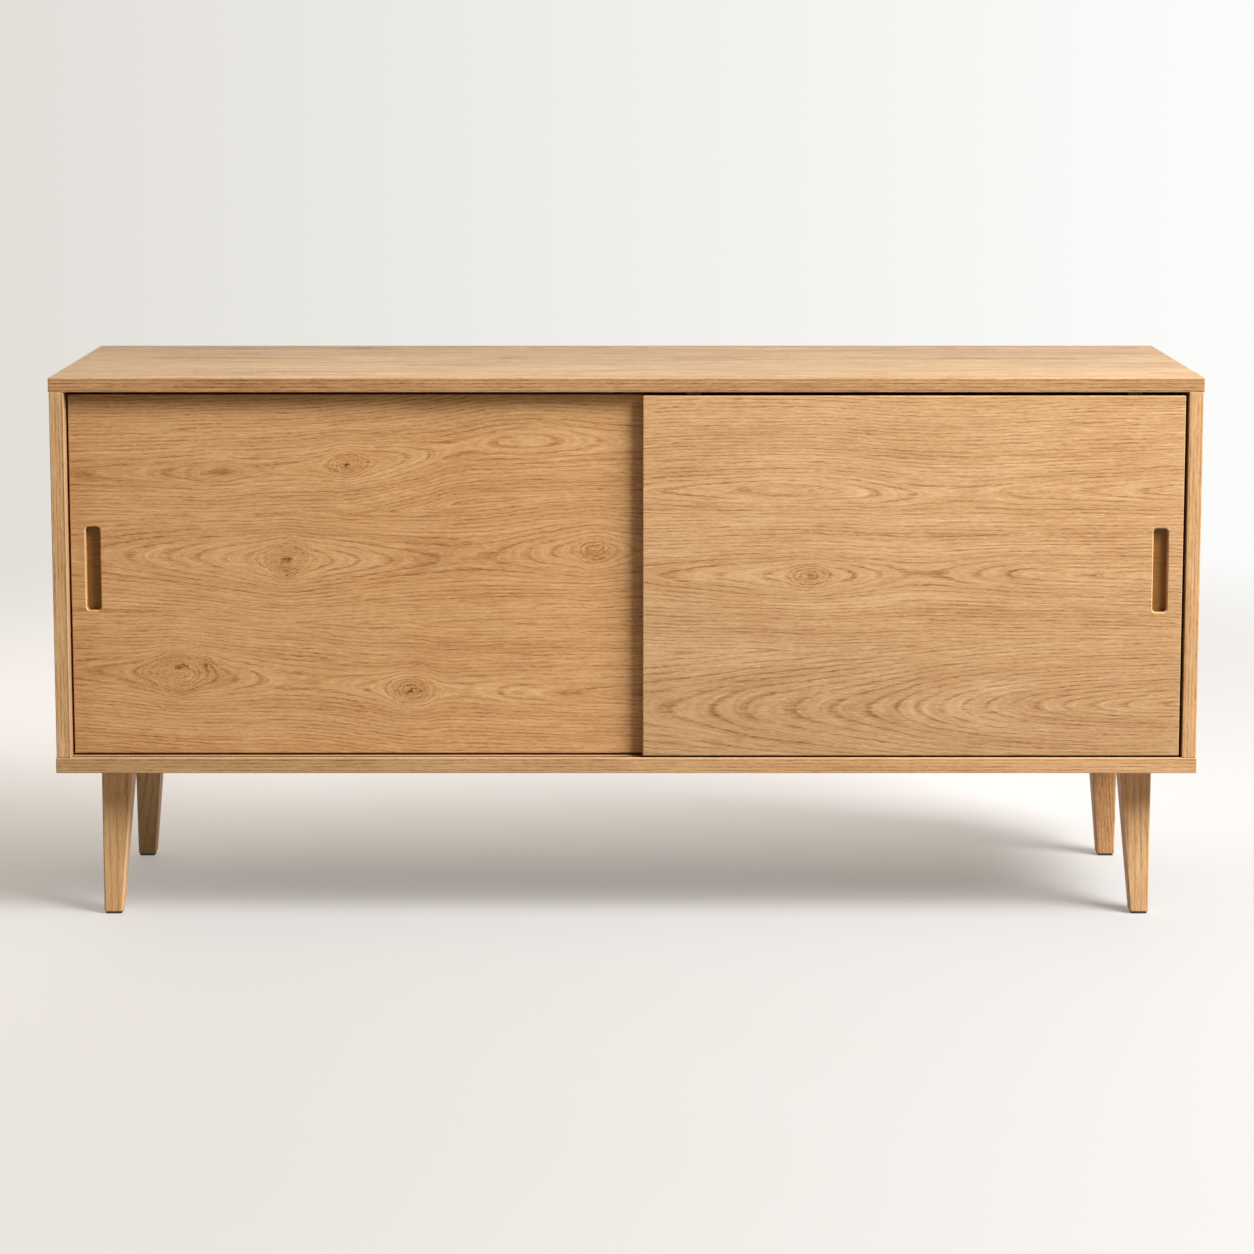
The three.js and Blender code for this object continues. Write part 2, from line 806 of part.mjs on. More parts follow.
// The guide in the top edge of a door: plug, flush head and a tongue that reaches into the track
function guideGeometry() {
  const headShape = roundedRectangle(guideHeadLength, guideHeadWidth, guideHeadWidth / 2 - fitGap);
  const head = slab(headShape, guideHeadThickness).translate(0, 0, -guideHeadThickness / 2);
  const tongueShape = roundedRectangle(guideTongueLength, guideTongueWidth, guideTongueWidth / 2 - fitGap);
  const tongueHeightAll = doorTopGap + guideTongueReach + guideHeadThickness / 2;
  const tongue = slab(tongueShape, tongueHeightAll);
  tongue.translate(0, 0, tongueHeightAll / 2 - guideHeadThickness / 2);
  const plug = rod(
    guidePlugRadius, -guideHeadThickness - guidePlugLength, -guideHeadThickness / 2, smallSides,
  );
  return join([head, tongue, plug]);
}

// A door with its finger pull, rollers and guides. The frame of its group is on its bottom edge.
function makeDoor(cabinet, name, width, closedSign, endGap, y) {
  const edgeX = closedSign * (sideInnerX - endGap);
  const group = new THREE.Group();
  group.position.set(edgeX - (closedSign * width) / 2, y, doorBottomZ);
  cabinet.add(group);
  const pullX = closedSign * (width / 2 - pullEdgeDistance - pullWidth / 2);
  const fittings = [
    ["outer", closedSign * (width / 2 - rollerInset)],
    ["inner", -closedSign * (width / 2 - rollerInset)],
  ];
  const centre = [0, 0, doorHeight / 2];
  const cutters = [
    ...pullCutters(pullX),
    ...fittings.flatMap(([, x]) => [...rollerPocket(x), ...guidePocket(x)]),
  ];
  const panel = cutInPlace(board(width, doorThickness, doorHeight), centre, cutters);
  piece(group, name + "_panel", panel, oak, centre);
  for (const [place, x] of fittings) {
    const axle = rod(axleRadius, -housingWidth / 2, housingWidth / 2, holeSides).rotateX(Math.PI / 2);
    piece(group, [name, "roller_housing", place].join("_"), housingGeometry(), darkPlastic, [x, 0, 0]);
    piece(group, [name, "roller", place].join("_"), wheelGeometry(), nylon, [x, 0, axleHeight]);
    piece(group, [name, "axle", place].join("_"), axle, steel, [x, 0, axleHeight]);
    piece(group, [name, "top_guide", place].join("_"), guideGeometry(), nylon, [x, 0, doorHeight]);
  }
}

const cabinet = new THREE.Group();
cabinet.name = "sliding_door_cabinet";
makeTop(cabinet);
makeBottom(cabinet);
makeSide(cabinet, "side_panel_left", -1);
makeSide(cabinet, "side_panel_right", 1);
makeBack(cabinet);
makeDivider(cabinet);
makeShelf(cabinet, "left", -1);
makeShelf(cabinet, "right", 1);
makeTracks(cabinet);
makeStops(cabinet);
makeLegs(cabinet);
makeDoor(cabinet, "left_door", rearDoorWidth, -1, rearDoorEndGap, rearDoorY);
makeDoor(cabinet, "right_door", frontDoorWidth, 1, frontDoorEndGap, frontDoorY);

export default cabinet;
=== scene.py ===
"""Looks, floor, lamp and camera of the sliding door cabinet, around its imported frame."""

import json
import math
import random
from collections import namedtuple

import bmesh
import bpy
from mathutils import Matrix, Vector


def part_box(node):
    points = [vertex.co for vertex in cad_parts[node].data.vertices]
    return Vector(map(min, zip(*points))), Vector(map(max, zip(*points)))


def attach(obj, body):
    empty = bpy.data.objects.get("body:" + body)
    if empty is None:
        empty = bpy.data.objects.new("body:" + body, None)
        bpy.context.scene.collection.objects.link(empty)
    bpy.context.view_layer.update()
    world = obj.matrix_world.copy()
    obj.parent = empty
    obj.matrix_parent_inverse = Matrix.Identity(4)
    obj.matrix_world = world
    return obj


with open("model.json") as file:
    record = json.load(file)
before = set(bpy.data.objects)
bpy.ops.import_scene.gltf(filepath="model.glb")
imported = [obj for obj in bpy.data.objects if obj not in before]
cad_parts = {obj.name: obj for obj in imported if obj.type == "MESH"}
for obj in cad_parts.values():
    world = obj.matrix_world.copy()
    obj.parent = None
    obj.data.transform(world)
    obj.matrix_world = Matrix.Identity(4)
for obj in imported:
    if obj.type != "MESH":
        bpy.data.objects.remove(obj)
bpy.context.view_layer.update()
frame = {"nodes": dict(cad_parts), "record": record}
nodes = frame["nodes"]
scene = bpy.context.scene
scene.view_settings.view_transform = "Standard"

MM = 0.001
PER_METRE = 1000.0
X, Y, Z = 0, 1, 2

# Camera, worked out from the photograph

PHOTO_PIXELS = 1254
SENSOR = 36.0
FOCAL_PIXELS = 3174.2
PITCH_DOWN = 6.93
SHIFT_Y = -0.17
CLIP_END = 400
CAMERA_PLACE = (0.0009, -4.5850, 1.2550)

camera_data = bpy.data.cameras.new("camera")
camera_data.sensor_width = SENSOR
camera_data.lens = SENSOR * FOCAL_PIXELS / PHOTO_PIXELS
camera_data.shift_y = SHIFT_Y
camera_data.clip_end = CLIP_END
camera = bpy.data.objects.new("camera", camera_data)
camera.location = CAMERA_PLACE
camera.rotation_euler = (math.radians(90 - PITCH_DOWN), 0, 0)
scene.collection.objects.link(camera)
scene.camera = camera


# Numbers and colours that a material works out at each point

def plug(tree, entry, value):
    """Gives an entry of a node a constant, or what another node works out."""
    if isinstance(value, Value):
        value = value.socket
    if isinstance(value, bpy.types.NodeSocket):
        tree.links.new(value, entry)
    else:
        entry.default_value = value


class Value:
    """One number at each point. Each sum on it adds a node to its tree."""

    def __init__(self, tree, socket):
        self.tree = tree
        self.socket = socket

    def math(self, operation, *others):
        node = self.tree.nodes.new("ShaderNodeMath")
        node.operation = operation
        for entry, value in zip(node.inputs, (self, *others)):
            plug(self.tree, entry, value)
        return Value(self.tree, node.outputs[0])

    def __add__(self, other):
        return self.math("ADD", other)

    def __sub__(self, other):
        return self.math("SUBTRACT", other)

    def __mul__(self, other):
        return self.math("MULTIPLY", other)

    def scaled(self, factor, offset=0.0):
        """This value times a factor, plus an offset."""
        return self.math("MULTIPLY_ADD", factor, offset)

    def swing(self, width):
        """A noise from 0 to 1 as one of a given width about zero."""
        return self.scaled(width, -width / 2)

    def squared(self):
        return self.math("MULTIPLY", self)

    def absolute(self):
        return self.math("ABSOLUTE")

    def bell(self, narrow=1.0):
        """1 where this squared distance is 0, falling to 0 the sooner, the narrower."""
        return self.scaled(-narrow).math("EXPONENT")

    def mapped(self, kind, low, high, start, end):
        node = self.tree.nodes.new("ShaderNodeMapRange")
        node.interpolation_type = kind
        for entry, value in zip(node.inputs, (self, low, high, start, end)):
            plug(self.tree, entry, value)
        return Value(self.tree, node.outputs[0])

    def step(self, low, high, start=0.0, end=1.0):
        """A smooth step from start at low to end at high. Low may be above high."""
        return self.mapped("SMOOTHSTEP", low, high, start, end)

    def between(self, low, high):
        """A straight step from 0 at low to 1 at high."""
        return self.mapped("LINEAR", low, high, 0.0, 1.0)

    def towards(self, other, share):
        """A mix of this value and another."""
        return self + (other - self) * share

    def curve(self, points, start, end):
        """A smooth curve through points (place, height), from start to end."""
        node = self.tree.nodes.new("ShaderNodeFloatCurve")
        top = max(height for place, height in points)
        low = min(height for place, height in points)
        span = max(top - low, 1e-6)
        node.mapping.extend = "HORIZONTAL"
        line = node.mapping.curves[0]
        while len(line.points) > 2:
            line.points.remove(line.points[1])
        placed = [((x - start) / (end - start), (h - low) / span) for x, h in points]
        for point, place in zip(line.points, (placed[0], placed[-1])):
            point.location = place
        for place in placed[1:-1]:
            line.points.new(*place)
        node.mapping.update()
        plug(self.tree, node.inputs["Value"], self.between(start, end))
        return Value(self.tree, node.outputs[0]).scaled(span, low)


def linear(colour):
    """A colour from 0 to 255, as a screen shows it, in the renderer's own scale."""
    shares = [c / 255 for c in colour]
    parts = [s / 12.92 if s <= 0.04045 else ((s + 0.055) / 1.055) ** 2.4 for s in shares]
    return (*parts, 1.0)


class Nodes:
    """The node tree of a material or a world, with the noises and colours made in it."""

    MIX_ENTRIES = (0, 6, 7)  # of the Mix node: the share and its two colours
    MIX_RESULT = 2

    def __init__(self, tree):
        self.tree = tree

    def add(self, kind):
        return self.tree.nodes.new(kind)

    def split(self, vector):
        """The three numbers of a vector."""
        node = self.add("ShaderNodeSeparateXYZ")
        plug(self.tree, node.inputs[0], vector)
        return [Value(self.tree, out) for out in node.outputs]

    def join(self, *values):
        """A vector of three numbers."""
        node = self.add("ShaderNodeCombineXYZ")
        for entry, value in zip(node.inputs, values):
            plug(self.tree, entry, value)
        return node.outputs[0]

    def noise(self, x, y, z=0.0, detail=0.0, roughness=0.5):
        """A soft noise from 0 to 1, whose lumps are about 1 across in each direction."""
        node = self.add("ShaderNodeTexNoise")
        node.inputs["Scale"].default_value = 1.0
        node.inputs["Detail"].default_value = detail
        node.inputs["Roughness"].default_value = roughness
        plug(self.tree, node.inputs["Vector"], self.join(x, y, z))
        return Value(self.tree, node.outputs[0])

    def ramp(self, value, stops):
        """Colours between stops (place, (red, green, blue) from 0 to 255)."""
        node = self.add("ShaderNodeValToRGB")
        row = node.color_ramp.elements
        while len(row) < len(stops):
            row.new(0.5)
        for element, (place, colour) in zip(row, stops):
            element.position = place
            element.color = linear(colour)
        plug(self.tree, node.inputs[0], value)
        return node.outputs[0]

    def mixed(self, share, first, second):
        """The first colour where share is 0, the second where it is 1."""
        node = self.add("ShaderNodeMix")
        node.data_type = "RGBA"
        for number, value in zip(self.MIX_ENTRIES, (share, first, second)):
            plug(self.tree, node.inputs[number], value)
        return node.outputs[self.MIX_RESULT]

    def dimmed(self, colour, share):
        """A colour with only a share of its light left."""
        node = self.add("ShaderNodeVectorMath")
        node.operation = "SCALE"
        plug(self.tree, node.inputs[0], colour)
        plug(self.tree, node.inputs["Scale"], share)
        return node.outputs[0]

    def rays(self, *kinds):
        """1 for rays of the kinds that Blender's Light Path names, else 0."""
        path = self.add("ShaderNodeLightPath")
        found = [Value(self.tree, path.outputs[kind]) for kind in kinds]
        share = found[0]
        for other in found[1:]:
            share = share.math("MAXIMUM", other)
        return share

    def seen(self):
        """1 for what the camera sees straight, in a reflection or through glass, else 0."""
        return self.rays("Is Camera Ray", "Is Glossy Ray", "Is Transmission Ray")


class Surface(Nodes):
    """A new material with its shader, and the place and normal of each point."""

    def __init__(self, name):
        self.material = bpy.data.materials.new(name)
        self.material.use_nodes = True
        super().__init__(self.material.node_tree)
        self.shader = self.tree.nodes["Principled BSDF"]
        place = self.add("ShaderNodeTexCoord")
        self.point = self.split(place.outputs["Object"])
        self.normal = self.split(place.outputs["Normal"])

    def point_mm(self):
        return [axis.scaled(PER_METRE) for axis in self.point]

    def lumps(self, sizes, detail=0.0, roughness=0.5, apart=0.0):
        """A noise whose lumps have the given sizes along X, Y and Z, in millimetres."""
        x, y, z = self.point_mm()
        long, wide, deep = sizes
        return self.noise(x.scaled(1 / long), y.scaled(1 / wide), z.scaled(1 / deep, apart),
                          detail, roughness)

    def facing(self, axis):
        """How squarely a surface faces along an axis, from 0 to 1."""
        return self.normal[axis].absolute()

    def set(self, entry, value):
        plug(self.tree, self.shader.inputs[entry], value)

    def bump(self, height, depth, strength):
        """Relief of a given depth in metres."""
        node = self.add("ShaderNodeBump")
        node.inputs["Strength"].default_value = strength
        node.inputs["Distance"].default_value = depth
        plug(self.tree, node.inputs["Height"], height)
        self.set("Normal", node.outputs[0])


# Oak: tones from 0, the palest wood, to 1, the darkest

OAK_TONES = [
    (0.0, (239, 199, 148)),
    (0.25, (223, 174, 119)),
    (0.5, (201, 147, 92)),
    (0.75, (168, 114, 64)),
    (1.0, (98, 61, 22)),
]
# A paler, less saturated copy of OAK_TONES. On the right door it is partly painted sheen, the
# pale gloss that the lamp at the right gives it.
PALE_TONES = [
    (0.0, (241, 207, 163)),
    (0.25, (226, 183, 134)),
    (0.5, (204, 155, 104)),
    (0.75, (171, 121, 72)),
    (1.0, (100, 64, 26)),
]
# Paler and greyer than the doors' tones: partly painted sheen, the pale gloss that the top
# shows at a low angle.
TOP_TONES = [
    (0.0, (236, 216, 186)),
    (0.25, (219, 191, 155)),
    (0.5, (194, 161, 123)),
    (0.75, (163, 127, 88)),
    (1.0, (102, 72, 42)),
]
INNER_TONES = [
    (0.0, (240, 212, 172)),
    (0.3, (224, 187, 142)),
    (0.5, (211, 170, 124)),
    (0.72, (186, 144, 99)),
    (1.0, (126, 88, 55)),
]
# Darker tones in the finger pulls: the routed wood's own colour, and painted shade in the
# recess.
PULL_TONES = [
    (0.0, (166, 116, 46)),
    (0.5, (145, 98, 33)),
    (1.0, (105, 66, 19)),
]

# How a board looks, apart from where its rings lie: base is the tone of its plain wood and
# contrast how strong its lines are. Its edges have tones and an added tone of their own.
# Shade is (axis, low, high, least): painted shade, which dims the colour to least at low and
# leaves it full at high.
Look = namedtuple("Look", "tones base contrast rough ior edge_tones edge_tone shade",
                  defaults=(0.30, 1.0, 0.40, 1.43, None, 0.05, None))

# Where a point lies in the grain: run along the board, fibre across it as its fibres go,
# side(width) the third place in a noise of that width, rings the distance from the heart of
# the tree, pitch the width of a ring, and drift the third place in noises that follow the
# rings. Seed keeps the noises of the boards apart.
Grain = namedtuple("Grain", "run fibre side rings pitch drift seed")

# A noise of the grain: its length along the board and its width across it in millimetres,
# and a number of its own that keeps it apart from the others
Layer = namedtuple("Layer", "length width number detail roughness", defaults=(1.0, 0.5))

FRAY = Layer(11, 0.9, 61)
GAPS = Layer(60, 4, 11, 2.0)
PALE_LINES = Layer(60, 1.1, 29)
LINES = Layer(30, 1.1, 83, 3.0, 0.75)
STREAKS = Layer(46, 1.1, 5, 2.0, 0.7)
HAIR = Layer(9, 0.75, 17)
PORES = Layer(3, 0.5, 7)
WANDER = Layer(260, 45, 0)
SHIVER = Layer(32, 7, 3, 2.0)
CLOUD = Layer(150, 60, 53)

# The same with a width in rings
WAVE = Layer(120, 1 / 0.9, 0)
BANDS = Layer(420, 1 / 0.28, 41)

# How far each of them moves the tone
DARK_LINE_TONE = 0.31
PALE_LINE_TONE = 0.12
LINES_TONE = 0.62
STREAKS_TONE = 0.60
HAIR_TONE = 0.44
BANDS_TONE = 0.30
PORES_TONE = 0.15
# Arrises are paler: wear, and a painted highlight along the edges.
ARRIS_TONE = 0.16
CLOUD_TONE = 0.2

# Where in a ring, from 0 to 1, lines and pores begin and are full, and their least share
DARK_RISE = (0.0, 0.1)
DARK_FALL = (0.42, 0.12)
PALE_RISE = (0.2, 0.5, 0.4)
PORES_FALL = (0.7, 0.2, 0.25)

# Between which values of their noises lines and pores come in
GAPS_STEP = (0.25, 0.6)
WAVE_STEP = (0.2, 0.5)
PALE_STEP = (0.55, 0.72)
PORES_STEP = (0.58, 0.72)

# How widely noises move the rings: the first in rings, the others in millimetres
FRAY_WIDTH = 0.5
WANDER_WIDTH = 9.0
SHIVER_WIDTH = 3.2
DRIFT_WIDTH = 40  # of the board, in which the noises on the rings change

ARRIS_STEP = (0.985, 0.86)  # how squarely a face still looks where its arris begins and ends
EDGE_FACING = 0.75  # and how squarely an edge of the board does
EDGE_CALM = 0.85  # share of the figure that an edge goes without
STRIPS_MELT = 8.0  # how softly two strips meet, in millimetres

# How far each moves the roughness
STREAKS_ROUGHNESS = 0.16
DARK_LINE_ROUGHNESS = 0.06
ARRIS_ROUGHNESS = 0.05
SHEEN = 0.04
SHEEN_ROUGHNESS = 0.45

RELIEF = 0.00012  # of a pore, in metres
RELIEF_STRENGTH = 0.8
DARK_LINE_RELIEF = 0.5  # as a share of a pore's
HAIR_RELIEF = 0.4

PITCH = 4.8  # between two dark lines of the grain, in millimetres
LEG_PITCH = 4.6


def arris_of(s):
    """1 on the rounded edges, where no axis is square to the surface, else 0."""
    flat = s.facing(X).math("MAXIMUM", s.facing(Y)).math("MAXIMUM", s.facing(Z))
    return flat.step(*ARRIS_STEP)


def dress_oak(s, grain, look, tone, arris, part=None, part_tones=None, light=None):
    """The grain on given rings. Fibres run along the board, whatever the rings do, and fray
    each ring. Where part is 1 the colours are part_tones, and light, a painted shade, dims
    them all."""
    def laid(layer, across, through):
        return s.noise(grain.run.scaled(1 / layer.length), across.scaled(1 / layer.width),
                       through, layer.detail, layer.roughness)

    def fibres(layer):
        return laid(layer, grain.fibre, grain.side(layer.width) + (grain.seed + layer.number))

    def flow(layer):
        return laid(layer, grain.rings, grain.drift + (grain.seed + layer.number))

    turns = grain.rings.scaled(1 / grain.pitch) + fibres(FRAY).swing(FRAY_WIDTH)
    phase = turns.math("FRACT")
    dark_line = phase.step(*DARK_RISE) * phase.step(*DARK_FALL)
    dark_line = dark_line * fibres(GAPS).step(*GAPS_STEP)
    dark_line = dark_line * laid(WAVE, turns, grain.drift + grain.seed).step(*WAVE_STEP)
    pale_line = flow(PALE_LINES).step(*PALE_STEP) * phase.step(*PALE_RISE)
    streaks = fibres(STREAKS)
    hair = fibres(HAIR)
    pores = fibres(PORES).step(*PORES_STEP) * phase.step(*PORES_FALL)
    bands = laid(BANDS, turns, grain.seed + BANDS.number)

    tone = tone + dark_line * (DARK_LINE_TONE * look.contrast)
    tone = tone - pale_line * (PALE_LINE_TONE * look.contrast)
    tone = tone + flow(LINES).swing(LINES_TONE * look.contrast)
    tone = tone + streaks.swing(STREAKS_TONE * look.contrast)
    tone = tone + hair.swing(HAIR_TONE * look.contrast)
    tone = tone + bands.swing(BANDS_TONE)
    # Paler arrises: wear, and painted highlight.
    tone = tone + pores * PORES_TONE - arris * ARRIS_TONE
    colour = s.ramp(tone, look.tones)
    if part_tones:
        colour = s.mixed(part, colour, s.ramp(tone, part_tones))
    if light:
        colour = s.dimmed(colour, light)
    s.set("Base Color", colour)
    rough = streaks.scaled(STREAKS_ROUGHNESS, look.rough) + dark_line * DARK_LINE_ROUGHNESS
    s.set("Roughness", rough - arris * ARRIS_ROUGHNESS)
    s.set("IOR", look.ior)
    s.set("Sheen Weight", SHEEN)
    s.set("Sheen Roughness", SHEEN_ROUGHNESS)
    height = dark_line.scaled(-DARK_LINE_RELIEF) - pores - hair.scaled(HAIR_RELIEF)
    s.bump(height, RELIEF, RELIEF_STRENGTH)
    return s.material


# A knot: its place and radius in millimetres, how many rings it lifts, its heart's dark tone
Knot = namedtuple("Knot", "along across radius rings heart")

KNOT_EDGE = Layer(7, 4, 0, 2.0)
KNOT_APART = 0.1  # times its place along the board: keeps the noises of the knots apart
KNOT_RAGGED = 1.2  # how ragged its edge is, in radii
KNOT_RAGGED_ACROSS = 0.6  # share of that across the board
KNOT_STRETCH = 0.8  # its width across the board for a length of 1
KNOT_ROUND = 0.35  # how closely round it fibres turn aside
KNOT_TURN = 0.75  # share of their way to its middle line that they give up there
KNOT_HEART = 26.0  # how narrow its heart is
KNOT_STAIN = 0.25  # tone of the whole knot, as a share of its heart's


def oak(name, axes, start, end, face, strips, look, seed, edge_place, knots=(), pull=None):
    """Flat-sawn oak veneer. Axes are the numbers of the along, across and through axes.

    Each strip is (heights, depths): the line that its arches are symmetrical about, and how
    far the heart of the tree lies under the face along it. Where the depth falls, arches
    point back, and a low place between two high ones is an eye with closed rings.
    Edges are banded with straight grain, edge_place away from the face's, and a pull is the
    (along, across, half length, half width) of a finger pull.
    """
    s = Surface(name)
    point = s.point_mm()
    along, across, through = (point[axis] for axis in axes)
    end_face = s.facing(axes[0]).math("GREATER_THAN", EDGE_FACING)
    long_edge = s.facing(axes[1]).math("GREATER_THAN", EDGE_FACING)
    inward = (through - face).absolute()
    run = along.towards(across, end_face)
    edge = end_face.math("MAXIMUM", long_edge)
    width = (across + inward).towards(inward + edge_place, edge)
    calm = edge.scaled(-EDGE_CALM, 1.0)

    def laid(layer, through=None):
        place = seed + layer.number if through is None else through
        return s.noise(run.scaled(1 / layer.length), width.scaled(1 / layer.width), place,
                       layer.detail)

    wander = laid(WANDER).swing(WANDER_WIDTH)
    shiver = laid(SHIVER).swing(SHIVER_WIDTH)
    place = width + (wander + shiver) * calm
    rings = None
    for heights, depths in strips:
        off = place - run.curve(heights, start, end)
        depth = run.curve(depths, start, end) * calm
        reach = (off.squared() + depth.squared()).math("SQRT")
        rings = reach if rings is None else rings.math("SMOOTH_MIN", reach, STRIPS_MELT)
    rings = rings.towards(place, edge)
    fibre = place
    tone = laid(CLOUD).scaled(CLOUD_TONE, look.base) + edge * look.edge_tone
    for knot in knots:
        ragged = laid(KNOT_EDGE, knot.along * KNOT_APART).swing(KNOT_RAGGED)
        stretch = KNOT_STRETCH / knot.radius
        dx = run.scaled(stretch, -stretch * knot.along) + ragged
        dz = width.scaled(1 / knot.radius, -knot.across / knot.radius)
        dz = dz + ragged * KNOT_RAGGED_ACROSS
        far = dx.squared() + dz.squared()
        near = far.bell()
        rings = rings - near * (knot.rings * PITCH)
        fibre = fibre - (place - knot.across) * far.bell(KNOT_ROUND) * KNOT_TURN
        tone = tone + far.bell(KNOT_HEART) * knot.heart + near * (KNOT_STAIN * knot.heart)
    light = None
    # Painted shade: the colour is dimmed along one axis, where the light on the board falls
    # off.
    if look.shade:
        axis, low, high, least = look.shade
        light = point[axis].step(low, high, least)
    part, part_tones = edge, look.edge_tones
    if pull:
        part, part_tones = recess_of(run, across, inward, *pull), PULL_TONES
    drift = width.scaled(1 / DRIFT_WIDTH)
    grain = Grain(run, fibre, lambda width: drift, rings, PITCH, drift, seed)
    return dress_oak(s, grain, look, tone, arris_of(s), part, part_tones, light)


PULL_RIM = (1.2, 2.2)  # below the face, where the pulls' darker tones, partly painted shade, come in


def recess_of(x, z, inward, centre_x, centre_z, half_wide, half_high):
    """1 in a finger pull, below its rounded rim, where its darker tones paint part of its
    shade, else 0.
    """
    near_x = (x - centre_x).absolute().math("LESS_THAN", half_wide)
    near_z = (z - centre_z).absolute().math("LESS_THAN", half_high)
    return near_x * near_z * inward.step(*PULL_RIM)


def strip(heights, depths):
    """A strip with its depths given in rings."""
    return heights, [(place, rings * PITCH) for place, rings in depths]


# The strips and knots of the doors, placed after the photograph

LEFT_DOOR = [
    strip([(-776, 640), (-564, 642), (-389, 651), (-298, 663), (-137, 684), (44, 682)],
          [(-776, 5.2), (-680, 4.5), (-620, 3.9), (-564, 3.15), (-510, 3.85), (-460, 3.6),
           (-434, 3.0), (-410, 2.1), (-389, 0.6), (-368, 2.0), (-341, 2.9), (-312, 3.9),
           (-280, 4.9), (-235, 5.8), (-185, 5.15), (-155, 4.8), (-120, 4.8), (-95, 5.15),
           (-30, 6.2), (44, 6.8)]),
    strip([(-776, 524), (-600, 522), (-475, 517), (-300, 519), (-44, 530), (44, 532)],
          [(-776, 9.4), (-720, 8.6), (-680, 7.9), (-640, 7.1), (-605, 6.3), (-577, 5.6),
           (-553, 4.9), (-532, 4.1), (-512, 3.2), (-495, 2.2), (-475, 0.5), (-455, 2.2),
           (-437, 3.2), (-412, 4.1), (-384, 4.9), (-352, 5.7), (-316, 6.4), (-275, 7.0),
           (-225, 7.3), (-180, 7.0), (-145, 6.3), (-115, 5.5), (-90, 4.8), (-68, 4.1),
           (-44, 3.3), (-20, 4.2), (6, 5.0), (44, 6.0)]),
    strip([(-776, 362), (-626, 354), (-450, 345), (-302, 333), (-165, 331), (44, 329)],
          [(-776, 5.6), (-712, 4.7), (-676, 3.7), (-652, 2.4), (-626, 0.9), (-602, 2.0),
           (-575, 3.2), (-530, 4.6), (-450, 5.8), (-370, 5.2), (-330, 3.8), (-302, 2.4),
           (-276, 3.7), (-240, 4.8), (-200, 4.6), (-165, 3.9), (-110, 3.4), (-58, 2.9),
           (44, 1.8)]),
]
LEFT_KNOTS = [
    Knot(-389, 651, 15, 2.4, 0.52),
    Knot(-475, 517, 21, 2.6, 0.48),
    Knot(-475, 496, 7, 1.4, 0.36),
    Knot(-44, 530, 17, 1.8, 0.20),
    Knot(-626, 366, 22, 2.8, 0.36),
    Knot(-589, 368, 11, 1.2, 0.36),
    Knot(-626, 337, 14, 1.6, 0.14),
    Knot(-302, 331, 15, 2.2, 0.52),
    Knot(-293, 369, 7, 1.2, 0.36),
]
RIGHT_DOOR = [
    strip([(23, 616), (225, 619), (430, 612), (652, 616), (775, 618)],
          [(23, 3.6), (67, 3.0), (120, 2.5), (179, 2.0), (225, 1.6), (272, 2.0), (310, 2.5),
           (342, 3.0), (390, 4.0), (450, 4.7), (500, 4.6), (542, 4.0), (600, 3.5), (652, 3.0),
           (695, 2.5), (728, 2.0), (775, 1.3)]),
    strip([(23, 500), (255, 498), (460, 500), (775, 496)],
          [(23, 5.6), (91, 4.6), (150, 3.8), (200, 3.0), (228, 2.2), (255, 1.2), (282, 2.2),
           (312, 3.0), (355, 4.2), (410, 5.2), (440, 5.1), (464, 4.6), (496, 4.0), (523, 3.4),
           (555, 2.7), (640, 2.2), (775, 1.2)]),
    strip([(23, 310), (250, 309), (500, 312), (775, 316)],
          [(23, 17.6), (90, 16.7), (134, 15.9), (172, 15.0), (243, 14.0), (295, 13.0),
           (345, 12.0), (383, 11.0), (409, 10.1), (444, 9.0), (470, 8.2), (505, 7.1),
           (540, 6.1), (575, 5.1), (610, 4.2), (645, 3.3), (690, 2.3), (735, 1.4),
           (775, 0.8)]),
]
RIGHT_KNOTS = [
    Knot(255, 498, 14, 1.8, 0.36),
]

# Strips drawn by lot

DRAWN_STEP = 180  # between two places of a drawn strip
DRAWN_SWAY = 7
FIRST_DEPTH = (3.0, 8.0)
DEPTH_CHANGE = (-2.0, 1.8)
LEAST_DEPTH, MOST_DEPTH = 0.8, 10.0


def drawn_strips(seed, start, end, centres):
    """Strips of a panel that the photograph doesn't show close up."""
    draw = random.Random(seed)
    strips = []
    for centre in centres:
        steps = max(2, round((end - start) / DRAWN_STEP))
        places = [start + (end - start) * i / steps for i in range(steps + 1)]
        heights = [(x, centre + draw.uniform(-DRAWN_SWAY, DRAWN_SWAY)) for x in places]
        deep = draw.uniform(*FIRST_DEPTH)
        depths = []
        for x in places:
            deep = min(max(deep + draw.uniform(*DEPTH_CHANGE), LEAST_DEPTH), MOST_DEPTH)
            depths.append((x, deep))
        strips.append(strip(heights, depths))
    return strips


def corner(name):
    """A node's lowest and highest corner, in millimetres."""
    low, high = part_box(name)
    return [c / MM for c in low], [c / MM for c in high]


# Axes along, across and through a panel
LAID = (X, Y, Z)
UPRIGHT_SIDE = (Z, Y, X)
UPRIGHT_FRONT = (X, Z, Y)

SEED_STEP = 3.7
PANEL_EDGE = 300  # from a panel's middle to the place in the noises that its edges show
DOOR_EDGE = 800.0

PULL_Z = 505.0
PULL_HALF_WIDE = 13.0
PULL_HALF_HIGH = 62.0


